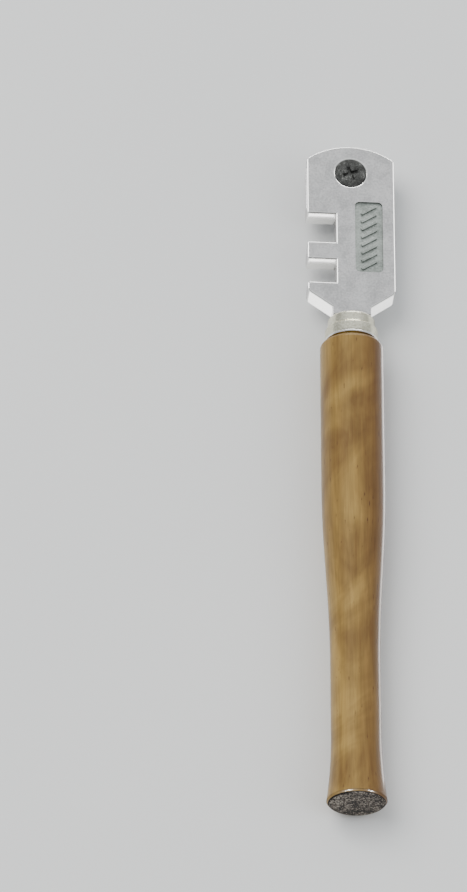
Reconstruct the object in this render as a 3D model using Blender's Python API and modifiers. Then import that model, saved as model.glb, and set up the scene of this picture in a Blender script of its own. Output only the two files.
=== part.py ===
"""Glass cutter: a flat plated head that carries a turret of six cutting wheels, on a turned wooden handle.

The tool lies on its back: +Y points at the cutting wheels, +Z out of the head's front face, and the
breaking notches open towards -X. A station is a distance along the tool, measured down from the top of
the head's arch. The origin is under the middle of the tool, on the surface that the handle lies on.
"""

import math

import bmesh
import bpy
from mathutils import Matrix, Vector

MM = 0.001
ALONG_TOOL = (math.radians(-90), 0, 0)  # turns an upright piece's top towards the wheels

# Whole tool
TOOL_LENGTH = 140.0 * MM  # from the top of the arch to the flat end of the handle
ROUND_STEPS = 48  # facets round the handle, ferrule, turret and screw

# Cutting wheels and their pins
WHEEL_COUNT = 6
WHEEL_DIAMETER = 4.0 * MM
WHEEL_THICKNESS = 0.8 * MM
WHEEL_SPACING = 0.5 * MM  # between one wheel's edge and the next
WHEEL_EDGE_ANGLE = 135.0  # degrees, across the cutting edge
WHEEL_SIDE_PLAY = 0.075 * MM
WHEEL_BORE_PLAY = 0.05 * MM
WHEEL_STEPS = 32
TIP_OVERHANG = 0.56 * MM  # how far the top wheel stands out of the arch
PIN_DIAMETER = 1.0 * MM
PIN_STEPS = 20
PIN_RECESS = 0.05 * MM  # below each flange
PIN_PRESS_GAP = 0.02 * MM

# Turret and the slot that it turns in
FLANGE_THICKNESS = 0.525 * MM
FLANGE_WALL = 0.5 * MM  # outside the pin holes
HUB_GAP = 0.2 * MM  # between the hub and the wheels
TURRET_SIDE_PLAY = 0.1 * MM
TURRET_BORE_PLAY = 0.08 * MM
SLOT_FLOOR_PLAY = 0.36 * MM

# Head plate
HEAD_WIDTH = 17.0 * MM
CHEEK_THICKNESS = 1.2 * MM  # on each side of the slot
ARCH_RISE = 2.9 * MM
ARCH_STEPS = 16
ARCH_CORNER_RADIUS = 0.25 * MM
WING_DROP = 3.4 * MM  # length of the slanted shoulders
WING_CORNER_RADIUS = 0.6 * MM
CORNER_STEPS = 4

# Breaking notches in the left edge, from the slot down
NOTCH_DEPTH = 5.6 * MM
SLOT_TO_NOTCH = 2.4 * MM
NOTCH_1_WIDTH = 6.3 * MM
TOOTH_WIDTH = 3.8 * MM
NOTCH_2_WIDTH = 5.1 * MM
LAST_TOOTH_WIDTH = 2.0 * MM
TOOTH_CORNER_RADIUS = 0.25 * MM

# Recessed panel on the front face
PANEL_WIDTH = 5.5 * MM
PANEL_TO_EDGE = 2.3 * MM  # to the plate's right edge
SCREW_TO_PANEL = 3.26 * MM
PANEL_TO_WING = 4.4 * MM
PANEL_DEPTH = 0.3 * MM
PANEL_CORNER_RADIUS = 0.9 * MM

# Clamp screw
SCREW_DIAMETER = 3.2 * MM
SCREW_HEAD_DIAMETER = 6.2 * MM
SCREW_HEAD_LAND = 0.2 * MM
SCREW_SUNK = 0.12 * MM  # head below the front face
SCREW_SEAT_WALL = 0.18 * MM  # metal left between the countersink and the slot
SCREW_END_RECESS = 0.3 * MM  # shank end inside the rear face
SCREW_PLAY = 0.08 * MM
SCREW_RECESS_LENGTH = 3.6 * MM
SCREW_RECESS_WIDTH = 0.8 * MM
SCREW_RECESS_DEPTH = 0.55 * MM
SCREW_RECESS_TURN = 20.0  # degrees

# Ferrule
FERRULE_LENGTH = 5.0 * MM
FERRULE_BORE_DIAMETER = 8.5 * MM
FERRULE_TOP_WALL = 0.3 * MM
FERRULE_BAND_WALL = 0.85 * MM
FERRULE_BAND_LENGTH = 2.4 * MM
FERRULE_STEP = 0.25 * MM
FERRULE_LIP_LENGTH = 0.5 * MM
FERRULE_LIP_HEIGHT = 0.1 * MM
FERRULE_CAP_THICKNESS = 0.6 * MM
FERRULE_CAP_ROUND = 0.6 * MM

# Neck and tang, in one piece with the head
NECK_SHOWN = 1.8 * MM  # between the plate and the ferrule
NECK_FACE_STEP = 0.2 * MM  # the neck is this much thinner than the plate on each face
NECK_SIDE_STEP = 0.15 * MM  # and this much narrower than the plate's end on each side
NECK_CORNER_GAP = 0.2 * MM  # from the neck's corners to the ferrule's bore
NECK_HOLE_PLAY = 0.1 * MM
NECK_SEAT = 0.1 * MM  # gap between the end of the neck and the tenon
NECK_BURIED = 1.0 * MM  # how far the neck runs into the plate
TANG_DIAMETER = 4.0 * MM
TANG_LENGTH = 23.0 * MM  # below the end of the neck
TANG_BURIED = 0.5 * MM  # how far the tang runs into the neck
TANG_PLAY = 0.08 * MM

# Handle
GRIP_DIAMETER = 12.2 * MM
WAIST_DIAMETER = 9.5 * MM
FOOT_DIAMETER = 11.6 * MM
TAPER_LENGTH = 36.0 * MM  # from the grip down to the waist
WAIST_LENGTH = 16.0 * MM
FLARE_LENGTH = 14.0 * MM  # from the waist out to the foot
SHOULDER_GAP = 0.5 * MM  # between the ferrule's lip and the shoulder
SHOULDER_ROUND = 1.0 * MM
FOOT_ROUND = 0.25 * MM
TENON_PLAY = 0.08 * MM
TENON_TOP_GAP = 0.8 * MM  # under the ferrule's cap
BORE_END_GAP = 1.0 * MM
TAPER_STEPS = 12
FLARE_STEPS = 8

# Turret sizes
PITCH_RADIUS = (WHEEL_DIAMETER + WHEEL_SPACING) / 2 / math.sin(math.pi / WHEEL_COUNT)
WHEEL_REACH = PITCH_RADIUS + WHEEL_DIAMETER / 2
HUB_RADIUS = PITCH_RADIUS - WHEEL_DIAMETER / 2 - HUB_GAP
FLANGE_RADIUS = PITCH_RADIUS + PIN_DIAMETER / 2 + FLANGE_WALL
GROOVE_WIDTH = WHEEL_THICKNESS + 2 * WHEEL_SIDE_PLAY
TURRET_THICKNESS = GROOVE_WIDTH + 2 * FLANGE_THICKNESS
SLOT_THICKNESS = TURRET_THICKNESS + 2 * TURRET_SIDE_PLAY
HEAD_THICKNESS = SLOT_THICKNESS + 2 * CHEEK_THICKNESS
HALF_PLATE = HEAD_THICKNESS / 2
HALF_HEAD = HEAD_WIDTH / 2

# Stations, from the arch down
TURRET_CENTRE = WHEEL_REACH - TIP_OVERHANG
SLOT_FLOOR = TURRET_CENTRE + WHEEL_REACH + SLOT_FLOOR_PLAY
NOTCH_1_START = SLOT_FLOOR + SLOT_TO_NOTCH
NOTCH_1_END = NOTCH_1_START + NOTCH_1_WIDTH
NOTCH_2_START = NOTCH_1_END + TOOTH_WIDTH
NOTCH_2_END = NOTCH_2_START + NOTCH_2_WIDTH
WING_START = NOTCH_2_END + LAST_TOOTH_WIDTH
PLATE_END = WING_START + WING_DROP
FERRULE_START = PLATE_END + NECK_SHOWN
FERRULE_END = FERRULE_START + FERRULE_LENGTH
TENON_TOP = FERRULE_START + FERRULE_CAP_THICKNESS + TENON_TOP_GAP
NECK_END = TENON_TOP - NECK_SEAT
TANG_END = NECK_END + TANG_LENGTH
SHOULDER = FERRULE_END + SHOULDER_GAP
WAIST_END = TOOL_LENGTH - FLARE_LENGTH
WAIST_START = WAIST_END - WAIST_LENGTH
GRIP_END = WAIST_START - TAPER_LENGTH

# Places
ARCH_TOP_Y = (TOOL_LENGTH - TIP_OVERHANG) / 2
AXIS_HEIGHT = max(GRIP_DIAMETER, FOOT_DIAMETER, HEAD_THICKNESS) / 2
FERRULE_BORE = FERRULE_BORE_DIAMETER / 2
HALF_NECK_THICKNESS = HALF_PLATE - NECK_FACE_STEP
HALF_NECK = math.sqrt(FERRULE_BORE**2 - HALF_NECK_THICKNESS**2) - NECK_CORNER_GAP


def along(station):
    """The Y of a station."""
    return ARCH_TOP_Y - station


def clear_scene():
    for item in list(bpy.data.objects):
        bpy.data.objects.remove(item)


def new_collection(name):
    group = bpy.data.collections.new(name)
    bpy.context.scene.collection.children.link(group)
    return group


def new_material(name, colour, roughness, metallic):
    material = bpy.data.materials.new(name)
    material.use_nodes = True
    shader = material.node_tree.nodes["Principled BSDF"]
    shader.inputs["Base Color"].default_value = (*colour, 1.0)
    shader.inputs["Roughness"].default_value = roughness
    shader.inputs["Metallic"].default_value = metallic
    return material


def add_object(name, mesh, group, place=(0, 0, 0), turn=(0, 0, 0)):
    item = bpy.data.objects.new(name, mesh)
    item.location = place
    item.rotation_euler = turn
    group.objects.link(item)
    if group is cutters:
        item.hide_render = True
        item.display_type = "WIRE"
    return item


def shade_round(item):
    item.data.shade_smooth()
    item.data.set_sharp_from_angle(angle=math.radians(30))


def corner_arc(before, corner, after, radius, steps):
    """The points of a round corner; a radius of zero keeps the sharp one."""
    if radius == 0:
        return [corner]
    back = (Vector(before) - Vector(corner)).normalized()
    onward = (Vector(after) - Vector(corner)).normalized()
    half_angle = back.angle(onward) / 2
    centre = Vector(corner) + (back + onward).normalized() * radius / math.sin(half_angle)
    reach = radius / math.tan(half_angle)
    first = Vector(corner) + back * reach - centre
    last = Vector(corner) + onward * reach - centre
    start = math.atan2(first.y, first.x)
    sweep = (math.atan2(last.y, last.x) - start + math.pi) % math.tau - math.pi
    angles = [start + sweep * step / steps for step in range(steps + 1)]
    return [(centre.x + radius * math.cos(angle), centre.y + radius * math.sin(angle)) for angle in angles]


def rounded_outline(corners, steps=CORNER_STEPS):
    """A closed outline from (x, y, corner radius) triples."""
    points = []
    for index, (x, y, radius) in enumerate(corners):
        before = corners[index - 1][:2]
        after = corners[(index + 1) % len(corners)][:2]
        points.extend(corner_arc(before, (x, y), after, radius, steps))
    return points


def plate_from_outline(name, outline, thickness, group, middle_z):
    """A flat plate, extruded evenly about middle_z from a closed outline."""
    curve = bpy.data.curves.new(name, "CURVE")
    curve.dimensions = "2D"
    curve.fill_mode = "BOTH"
    curve.extrude = thickness / 2
    spline = curve.splines.new("POLY")
    spline.points.add(len(outline) - 1)
    for point, (x, y) in zip(spline.points, outline):
        point.co = (x, y, 0, 1)
    spline.use_cyclic_u = True
    drawn = add_object(name + "_outline", curve, group, (0, 0, middle_z))
    bpy.context.view_layer.update()
    evaluated = drawn.evaluated_get(bpy.context.evaluated_depsgraph_get())
    mesh = bpy.data.meshes.new_from_object(evaluated)
    item = add_object(name, mesh, group)
    item.matrix_world = drawn.matrix_world
    bpy.data.objects.remove(drawn)
    shell = bmesh.new()
    shell.from_mesh(mesh)
    bmesh.ops.remove_doubles(shell, verts=shell.verts, dist=0.001 * MM)
    shell.to_mesh(mesh)
    shell.free()
    return item


def box(name, low, high, group, turn=0.0):
    """A box between two corners, turned about its own upright axis."""
    size = Vector(high) - Vector(low)
    shell = bmesh.new()
    bmesh.ops.create_cube(shell, size=1.0, matrix=Matrix.Diagonal((*size, 1)))
    mesh = bpy.data.meshes.new(name)
    shell.to_mesh(mesh)
    shell.free()
    return add_object(name, mesh, group, (Vector(low) + Vector(high)) / 2, (0, 0, turn))


def cylinders(name, radius, length, steps, group, place, centres=((0, 0),), turn=(0, 0, 0)):
    """Round bars of one size, side by side in one mesh."""
    shell = bmesh.new()
    for x, y in centres:
        bmesh.ops.create_cone(
            shell,
            cap_ends=True,
            segments=steps,
            radius1=radius,
            radius2=radius,
            depth=length,
            matrix=Matrix.Translation((x, y, 0)),
        )
    mesh = bpy.data.meshes.new(name)
    shell.to_mesh(mesh)
    shell.free()
    return add_object(name, mesh, group, place, turn)


def turned(name, profile, group, place, turn=(0, 0, 0), closed=False, steps=ROUND_STEPS):
    """A lathe piece: (radius, height) points that run down the outer side, spun about the upright axis."""
    edges = [(index, index + 1) for index in range(len(profile) - 1)]
    if closed:
        edges.append((len(profile) - 1, 0))
    mesh = bpy.data.meshes.new(name)
    mesh.from_pydata([(radius, 0, height) for radius, height in profile], edges, [])
    item = add_object(name, mesh, group, place, turn)
    spin = item.modifiers.new("Turned", "SCREW")
    spin.axis = "Z"
    spin.steps = steps
    spin.render_steps = steps
    spin.use_merge_vertices = True
    spin.merge_threshold = 0.001 * MM
    return item


def cut(item, cutter):
    boolean = item.modifiers.new("Cut " + cutter.name, "BOOLEAN")
    boolean.operation = "DIFFERENCE"
    boolean.object = cutter


def join(item, other):
    boolean = item.modifiers.new("Join " + other.name, "BOOLEAN")
    boolean.operation = "UNION"
    boolean.object = other


def head_outline():
    """The plate's outline, anticlockwise from the right end of the arch."""
    arch_radius = (HALF_HEAD**2 + ARCH_RISE**2) / (2 * ARCH_RISE)
    half_arch = math.asin(HALF_HEAD / arch_radius)
    arch_centre = along(arch_radius)
    corners = []
    for step in range(1, ARCH_STEPS):
        angle = half_arch * (1 - 2 * step / ARCH_STEPS)
        x = arch_radius * math.sin(angle)
        y = arch_centre + arch_radius * math.cos(angle)
        corners.append((x, y, 0))
    corners.append((-HALF_HEAD, along(ARCH_RISE), ARCH_CORNER_RADIUS))
    notch_floor = -HALF_HEAD + NOTCH_DEPTH
    for start, end in ((NOTCH_1_START, NOTCH_1_END), (NOTCH_2_START, NOTCH_2_END)):
        corners.append((-HALF_HEAD, along(start), TOOTH_CORNER_RADIUS))
        corners.append((notch_floor, along(start), 0))
        corners.append((notch_floor, along(end), 0))
        corners.append((-HALF_HEAD, along(end), TOOTH_CORNER_RADIUS))
    plate_end = HALF_NECK + NECK_SIDE_STEP
    corners.append((-HALF_HEAD, along(WING_START), WING_CORNER_RADIUS))
    corners.append((-plate_end, along(PLATE_END), 0))
    corners.append((plate_end, along(PLATE_END), 0))
    corners.append((HALF_HEAD, along(WING_START), WING_CORNER_RADIUS))
    corners.append((HALF_HEAD, along(ARCH_RISE), ARCH_CORNER_RADIUS))
    return rounded_outline(corners)


def screw_side(play):
    """The clamp screw's side, from its head down to the top of its shank, grown by play all round."""
    top = HALF_PLATE - SCREW_SUNK
    land = top - SCREW_HEAD_LAND
    cone_end = SLOT_THICKNESS / 2 + SCREW_SEAT_WALL
    head_radius = SCREW_HEAD_DIAMETER / 2 + play
    shank_radius = SCREW_DIAMETER / 2 + play
    return [(head_radius, top), (head_radius, land - play), (shank_radius, cone_end - play)]


def make_head():
    plate = plate_from_outline("head_body", head_outline(), HEAD_THICKNESS, parts, AXIS_HEIGHT)
    neck = box(
        "neck",
        (-HALF_NECK, along(NECK_END), AXIS_HEIGHT - HALF_NECK_THICKNESS),
        (HALF_NECK, along(PLATE_END - NECK_BURIED), AXIS_HEIGHT + HALF_NECK_THICKNESS),
        cutters,
    )
    join(plate, neck)
    tang_start = NECK_END - TANG_BURIED
    tang = cylinders(
        "tang",
        TANG_DIAMETER / 2,
        TANG_END - tang_start,
        ROUND_STEPS // 2,
        cutters,
        (0, along((tang_start + TANG_END) / 2), AXIS_HEIGHT),
        turn=ALONG_TOOL,
    )
    join(plate, tang)
    slot = box(
        "turret_slot",
        (-HEAD_WIDTH, along(SLOT_FLOOR), AXIS_HEIGHT - SLOT_THICKNESS / 2),
        (HEAD_WIDTH, along(-HEAD_WIDTH), AXIS_HEIGHT + SLOT_THICKNESS / 2),
        cutters,
    )
    cut(plate, slot)
    head_side = screw_side(SCREW_PLAY)
    hole_profile = [
        (0, HEAD_THICKNESS),
        (head_side[0][0], HEAD_THICKNESS),
        *head_side[1:],
        (head_side[-1][0], -HEAD_THICKNESS),
        (0, -HEAD_THICKNESS),
    ]
    hole = turned("screw_hole", hole_profile, cutters, turret_place())
    cut(plate, hole)
    panel_right = HALF_HEAD - PANEL_TO_EDGE
    panel_left = panel_right - PANEL_WIDTH
    panel_top = along(TURRET_CENTRE + SCREW_HEAD_DIAMETER / 2 + SCREW_TO_PANEL)
    panel_bottom = along(WING_START - PANEL_TO_WING)
    panel_corners = [
        (panel_left, panel_top, PANEL_CORNER_RADIUS),
        (panel_left, panel_bottom, PANEL_CORNER_RADIUS),
        (panel_right, panel_bottom, PANEL_CORNER_RADIUS),
        (panel_right, panel_top, PANEL_CORNER_RADIUS),
    ]
    panel = plate_from_outline(
        "panel_pocket",
        rounded_outline(panel_corners),
        2 * PANEL_DEPTH,
        cutters,
        AXIS_HEIGHT + HALF_PLATE,
    )
    cut(plate, panel)
    plate.data.materials.clear()
    plate.data.materials.append(new_material("satin_nickel", (0.50, 0.49, 0.48), 0.32, 1.0))


def turret_place():
    return Vector((0, along(TURRET_CENTRE), AXIS_HEIGHT))


def make_turret():
    bore = SCREW_DIAMETER / 2 + TURRET_BORE_PLAY
    half = TURRET_THICKNESS / 2
    groove = GROOVE_WIDTH / 2
    profile = [
        (bore, half),
        (FLANGE_RADIUS, half),
        (FLANGE_RADIUS, groove),
        (HUB_RADIUS, groove),
        (HUB_RADIUS, -groove),
        (FLANGE_RADIUS, -groove),
        (FLANGE_RADIUS, -half),
        (bore, -half),
    ]
    spool = turned("turret", profile, parts, turret_place(), closed=True)
    spool.data.materials.append(new_material("turret_steel", (0.42, 0.41, 0.40), 0.35, 1.0))
    holes = cylinders(
        "pin_holes",
        PIN_DIAMETER / 2 + PIN_PRESS_GAP,
        2 * TURRET_THICKNESS,
        PIN_STEPS,
        cutters,
        turret_place(),
        [wheel_centre(number) for number in range(WHEEL_COUNT)],
    )
    cut(spool, holes)


def wheel_centre(number):
    """A wheel's place round the turret's axis; the first one is at the top."""
    angle = math.radians(90) - math.tau * number / WHEEL_COUNT
    return (PITCH_RADIUS * math.cos(angle), PITCH_RADIUS * math.sin(angle))


def make_wheels():
    half = WHEEL_THICKNESS / 2
    rim = WHEEL_DIAMETER / 2
    bevel_start = rim - half / math.tan(math.radians(WHEEL_EDGE_ANGLE / 2))
    bore = PIN_DIAMETER / 2 + WHEEL_BORE_PLAY
    profile = [(bore, half), (bevel_start, half), (rim, 0), (bevel_start, -half), (bore, -half)]
    pin_length = TURRET_THICKNESS - 2 * PIN_RECESS
    wheel_steel = new_material("wheel_steel", (0.35, 0.35, 0.36), 0.22, 1.0)
    pin_steel = new_material("pin_steel", (0.45, 0.45, 0.45), 0.3, 1.0)
    for number in range(WHEEL_COUNT):
        place = turret_place() + Vector((*wheel_centre(number), 0))
        wheel_name = f"cutting_wheel_{number + 1}"
        wheel = turned(wheel_name, profile, parts, place, closed=True, steps=WHEEL_STEPS)
        wheel.data.materials.append(wheel_steel)
        pin_name = f"wheel_pin_{number + 1}"
        pin = cylinders(pin_name, PIN_DIAMETER / 2, pin_length, PIN_STEPS, parts, place)
        pin.data.materials.append(pin_steel)
        shade_round(pin)


def make_screw():
    head_side = screw_side(0.0)
    top = head_side[0][1]
    shank_radius = head_side[-1][0]
    end = -HALF_PLATE + SCREW_END_RECESS
    profile = [(0, top), *head_side, (shank_radius, end), (0, end)]
    screw = turned("clamp_screw", profile, parts, turret_place())
    screw.data.materials.append(new_material("black_steel", (0.05, 0.05, 0.05), 0.45, 0.8))
    half_size = Vector((SCREW_RECESS_LENGTH / 2, SCREW_RECESS_WIDTH / 2, SCREW_RECESS_DEPTH))
    middle = turret_place() + Vector((0, 0, top))
    for number in range(2):
        turn = math.radians(SCREW_RECESS_TURN + 90 * number)
        wing = box(f"screw_recess_{number + 1}", middle - half_size, middle + half_size, cutters, turn)
        cut(screw, wing)


def make_ferrule():
    top = along(FERRULE_START)
    end = along(FERRULE_END)
    shoulder = FERRULE_BORE + FERRULE_TOP_WALL
    band = FERRULE_BORE + FERRULE_BAND_WALL
    band_top = end + FERRULE_BAND_LENGTH
    profile = [
        (0, top),
        *corner_arc((0, top), (shoulder, top), (shoulder, end), FERRULE_CAP_ROUND, 2 * CORNER_STEPS),
        (band - FERRULE_STEP, band_top + FERRULE_STEP),
        (band, band_top),
        (band, end + FERRULE_LIP_LENGTH),
        (band + FERRULE_LIP_HEIGHT, end + FERRULE_LIP_LENGTH / 2),
        (band, end),
        (FERRULE_BORE, end),
        (FERRULE_BORE, top - FERRULE_CAP_THICKNESS),
        (0, top - FERRULE_CAP_THICKNESS),
    ]
    ferrule = turned("ferrule", profile, parts, (0, 0, AXIS_HEIGHT), ALONG_TOOL)
    ferrule.data.materials.append(new_material("ferrule_nickel", (0.56, 0.54, 0.46), 0.28, 1.0))
    half_hole = Vector(
        (HALF_NECK + NECK_HOLE_PLAY, 2 * FERRULE_CAP_THICKNESS, HALF_NECK_THICKNESS + NECK_HOLE_PLAY)
    )
    cap = Vector((0, top, AXIS_HEIGHT))
    cut(ferrule, box("neck_hole", cap - half_hole, cap + half_hole, cutters))


def smooth_step(share):
    return share * share * (3 - 2 * share)


def make_handle():
    grip = GRIP_DIAMETER / 2
    waist = WAIST_DIAMETER / 2
    foot = FOOT_DIAMETER / 2
    tenon = FERRULE_BORE - TENON_PLAY
    bore = TANG_DIAMETER / 2 + TANG_PLAY
    bore_end = along(TANG_END + BORE_END_GAP)
    shoulder = along(SHOULDER)
    end = along(TOOL_LENGTH)
    shoulder_round = min(SHOULDER_ROUND, 0.8 * (grip - tenon))
    profile = [
        (0, bore_end),
        (bore, bore_end),
        (bore, along(TENON_TOP)),
        (tenon, along(TENON_TOP)),
        (tenon, shoulder),
        *corner_arc((tenon, shoulder), (grip, shoulder), (grip, end), shoulder_round, 2 * CORNER_STEPS),
    ]
    for step in range(TAPER_STEPS + 1):
        share = step / TAPER_STEPS
        profile.append((grip + (waist - grip) * smooth_step(share), along(GRIP_END + TAPER_LENGTH * share)))
    for step in range(FLARE_STEPS):
        share = step / FLARE_STEPS
        profile.append((waist + (foot - waist) * share**2, along(WAIST_END + FLARE_LENGTH * share)))
    profile.extend(corner_arc(profile[-1], (foot, end), (0, end), FOOT_ROUND, 2))
    profile.append((0, end))
    handle = turned("handle", profile, parts, (0, 0, AXIS_HEIGHT), ALONG_TOOL)
    handle.data.materials.append(new_material("varnished_wood", (0.34, 0.19, 0.07), 0.3, 0.0))


clear_scene()
parts = new_collection("glass_cutter")
cutters = new_collection("cutters")
make_head()
make_turret()
make_wheels()
make_screw()
make_ferrule()
make_handle()
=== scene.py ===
from math import asin, atan2, cos, pi, radians, sin, tan

import bmesh
import bpy
from mathutils import Matrix, Vector
from mathutils.noise import noise as noiseAt


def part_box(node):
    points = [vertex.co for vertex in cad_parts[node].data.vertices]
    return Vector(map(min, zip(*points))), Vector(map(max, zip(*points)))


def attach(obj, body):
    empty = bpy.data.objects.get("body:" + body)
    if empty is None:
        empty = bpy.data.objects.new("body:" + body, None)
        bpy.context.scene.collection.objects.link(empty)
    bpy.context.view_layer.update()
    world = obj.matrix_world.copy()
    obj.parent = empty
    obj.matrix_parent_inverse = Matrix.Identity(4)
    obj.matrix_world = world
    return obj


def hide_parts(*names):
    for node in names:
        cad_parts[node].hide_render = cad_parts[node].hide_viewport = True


mm = 0.001
hair = 0.002 * mm  # points closer than this are the same point
near = 0.1 * mm  # close enough to pick an edge or a face by its place
overcut = 2 * mm  # how far a cutter reaches past what it cuts

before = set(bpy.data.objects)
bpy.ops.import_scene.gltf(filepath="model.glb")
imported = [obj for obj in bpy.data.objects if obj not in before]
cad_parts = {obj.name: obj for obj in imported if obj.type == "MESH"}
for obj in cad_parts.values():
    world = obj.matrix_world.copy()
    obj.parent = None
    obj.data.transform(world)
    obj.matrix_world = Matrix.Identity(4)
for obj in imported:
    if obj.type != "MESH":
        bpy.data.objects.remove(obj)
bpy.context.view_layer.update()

# where the CAD parts are
headLow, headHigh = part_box("head_body")
handleLow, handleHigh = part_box("handle")
ferruleLow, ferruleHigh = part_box("ferrule")
screwLow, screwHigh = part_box("clamp_screw")
turretLow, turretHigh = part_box("turret")
archTop = headHigh.y  # top of the head's arch
axisHeight = (headLow.z + headHigh.z) / 2  # height of the tool's centre line
turretMiddle = (turretLow + turretHigh) / 2
print("frame loaded, archTop", round(archTop / mm, 2), "axisHeight", round(axisHeight / mm, 2))


# small tools that every piece uses

def startFresh():
    if bpy.context.object and bpy.context.object.mode == "EDIT":
        bpy.ops.object.mode_set(mode="OBJECT")
    for item in bpy.context.selected_objects:
        item.select_set(False)


def justThis(item):
    startFresh()
    item.select_set(True)
    bpy.context.view_layer.objects.active = item


def nameIt(name):
    item = bpy.context.object
    item.name = name
    item.data.name = name
    return item


def settle(item):
    # put the place into the mesh, so the object itself sits at the origin
    justThis(item)
    bpy.ops.object.transform_apply(location=True, rotation=True, scale=True)
    return item


def applyMod(item, kind, **values):
    justThis(item)
    mod = item.modifiers.new(kind.lower(), kind)
    for key, value in values.items():
        setattr(mod, key, value)
    bpy.ops.object.modifier_apply(modifier=mod.name)


def carve(item, tool, how="DIFFERENCE"):
    applyMod(item, "BOOLEAN", operation=how, solver="EXACT", object=tool)
    bpy.data.objects.remove(tool)


def roundEdges(item, width, segments=3, angle=30):
    applyMod(item, "BEVEL", width=width, segments=segments, limit_method="ANGLE",
             angle_limit=radians(angle), use_clamp_overlap=False, harden_normals=False)


def smoothByAngle(item, angle):
    justThis(item)
    bpy.ops.object.shade_smooth_by_angle(angle=radians(angle))


def evenShading(item):
    # the broad flat faces keep a flat shade, and only the rounded edges turn it
    applyMod(item, "WEIGHTED_NORMAL", mode="FACE_AREA", weight=100, keep_sharp=True)


def addBox(name, low, high):
    startFresh()
    middle = (Vector(low) + Vector(high)) / 2
    bpy.ops.mesh.primitive_cube_add(size=1, location=middle)
    item = nameIt(name)
    item.scale = Vector(high) - Vector(low)
    return settle(item)


def pickFaces(item, test):
    # in edit mode: select the faces that pass the test
    work = bmesh.from_edit_mesh(item.data)
    bpy.ops.mesh.select_all(action="DESELECT")
    bpy.ops.mesh.select_mode(type="FACE")
    for face in work.faces:
        if test(face):
            face.select_set(True)
    work.select_flush_mode()
    bmesh.update_edit_mesh(item.data)


def oneVertex(name, place):
    # a mesh of a single selected vertex, left in edit mode
    startFresh()
    bpy.ops.mesh.primitive_plane_add(size=mm, location=place)
    item = settle(nameIt(name))
    bpy.ops.object.mode_set(mode="EDIT")
    bpy.ops.mesh.select_mode(type="VERT")
    bpy.ops.mesh.select_all(action="SELECT")
    bpy.ops.mesh.merge(type="CENTER")
    return item


def lathe(name, profile, centre, axis="Z", steps=128, closed=False):
    # draw the profile by extruding one vertex, then spin it round; profile is (radius, height)
    toWorld = Matrix.Translation(centre)
    if axis == "Y":
        toWorld = toWorld @ Matrix.Rotation(radians(-90), 4, "X")
    points = [toWorld @ Vector((radius, 0, height)) for radius, height in profile]
    if closed:
        points.append(points[0])
    item = oneVertex(name, points[0])
    for before, after in zip(points, points[1:]):
        bpy.ops.mesh.extrude_region_move(TRANSFORM_OT_translate={"value": after - before})
    bpy.ops.mesh.select_all(action="SELECT")
    direction = toWorld.to_3x3() @ Vector((0, 0, 1))
    bpy.ops.mesh.spin(steps=steps, angle=2 * pi, center=centre, axis=direction)
    bpy.ops.mesh.select_all(action="SELECT")
    bpy.ops.mesh.remove_doubles(threshold=hair)
    bpy.ops.mesh.normals_make_consistent(inside=False)
    bpy.ops.object.mode_set(mode="OBJECT")
    return item


def roundCorner(before, corner, after, radius, steps):
    # points of a fillet between two straight runs of a profile
    corner = Vector(corner)
    back = (Vector(before) - corner).normalized()
    onward = (Vector(after) - corner).normalized()
    half = back.angle(onward) / 2
    centre = corner + (back + onward).normalized() * radius / sin(half)
    first = corner + back * radius / tan(half) - centre
    last = corner + onward * radius / tan(half) - centre
    start = atan2(first.y, first.x)
    sweep = (atan2(last.y, last.x) - start + pi) % (2 * pi) - pi
    points = []
    for step in range(steps + 1):
        turn = start + sweep * step / steps
        points.append(tuple(centre + radius * Vector((cos(turn), sin(turn)))))
    return points


def fromAxis(point):
    # the way out to a point from the tool's long axis
    return Vector((point.x, 0, point.z - axisHeight))


def setMaterials(item, *materials):
    item.data.materials.clear()
    for material in materials:
        item.data.materials.append(material)


def addNode(tree, kind, inputs=None, **values):
    # an input that is given as a socket is linked, any other is set
    node = tree.nodes.new(kind)
    for key, value in values.items():
        setattr(node, key, value)
    for key, value in (inputs or {}).items():
        if isinstance(value, bpy.types.NodeSocket):
            tree.links.new(value, node.inputs[key])
        else:
            node.inputs[key].default_value = value
    return node


def mix(tree, how, share, first, second):
    # the mix node's sockets for colours are its inputs 6 and 7 and its output 2
    if isinstance(first, tuple):
        first = (*first, 1)
    if isinstance(second, tuple):
        second = (*second, 1)
    return addNode(tree, "ShaderNodeMix", {0: share, 6: first, 7: second},
                   data_type="RGBA", blend_type=how).outputs[2]


# camera and lights

viewSettings = {
    "aim": (-0.0228, 0.0039, 0.0061),
    "distance": 1.2228,
    "azimuth": -9.04,
    "elevation": 61.71,
    "roll": 0.13,
    "lens": 259.35,
    "sensor": 36,
    "clip": (0.05, 50),
}


def setCamera(s):
    startFresh()
    turn, rise = radians(s["azimuth"]), radians(s["elevation"])
    back = Vector((sin(turn) * cos(rise), -cos(turn) * cos(rise), sin(rise)))
    bpy.ops.object.camera_add(location=Vector(s["aim"]) + back * s["distance"])
    camera = bpy.context.object
    camera.name = "viewCamera"
    side = Vector((0, 1, 0)).cross(back).normalized()
    up = back.cross(side)
    facing = Matrix((side, up, back)).transposed()
    camera.rotation_euler = (facing @ Matrix.Rotation(radians(-s["roll"]), 3, "Z")).to_euler()
    camera.data.lens = s["lens"]
    camera.data.sensor_width = s["sensor"]
    camera.data.clip_start, camera.data.clip_end = s["clip"]
    bpy.context.scene.camera = camera


lightSettings = {
    # name: (place, aim, width, height, watts, colour)
    "keyBox": ((-0.55, 0.30, 0.95), (0, 0.01, 0), 0.8, 0.8, 11.0, (1.0, 0.985, 0.96)),
    "fillBox": ((0.80, -0.35, 0.75), (0, 0, 0), 0.8, 0.9, 3.0, (0.95, 0.975, 1.0)),
}

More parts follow.
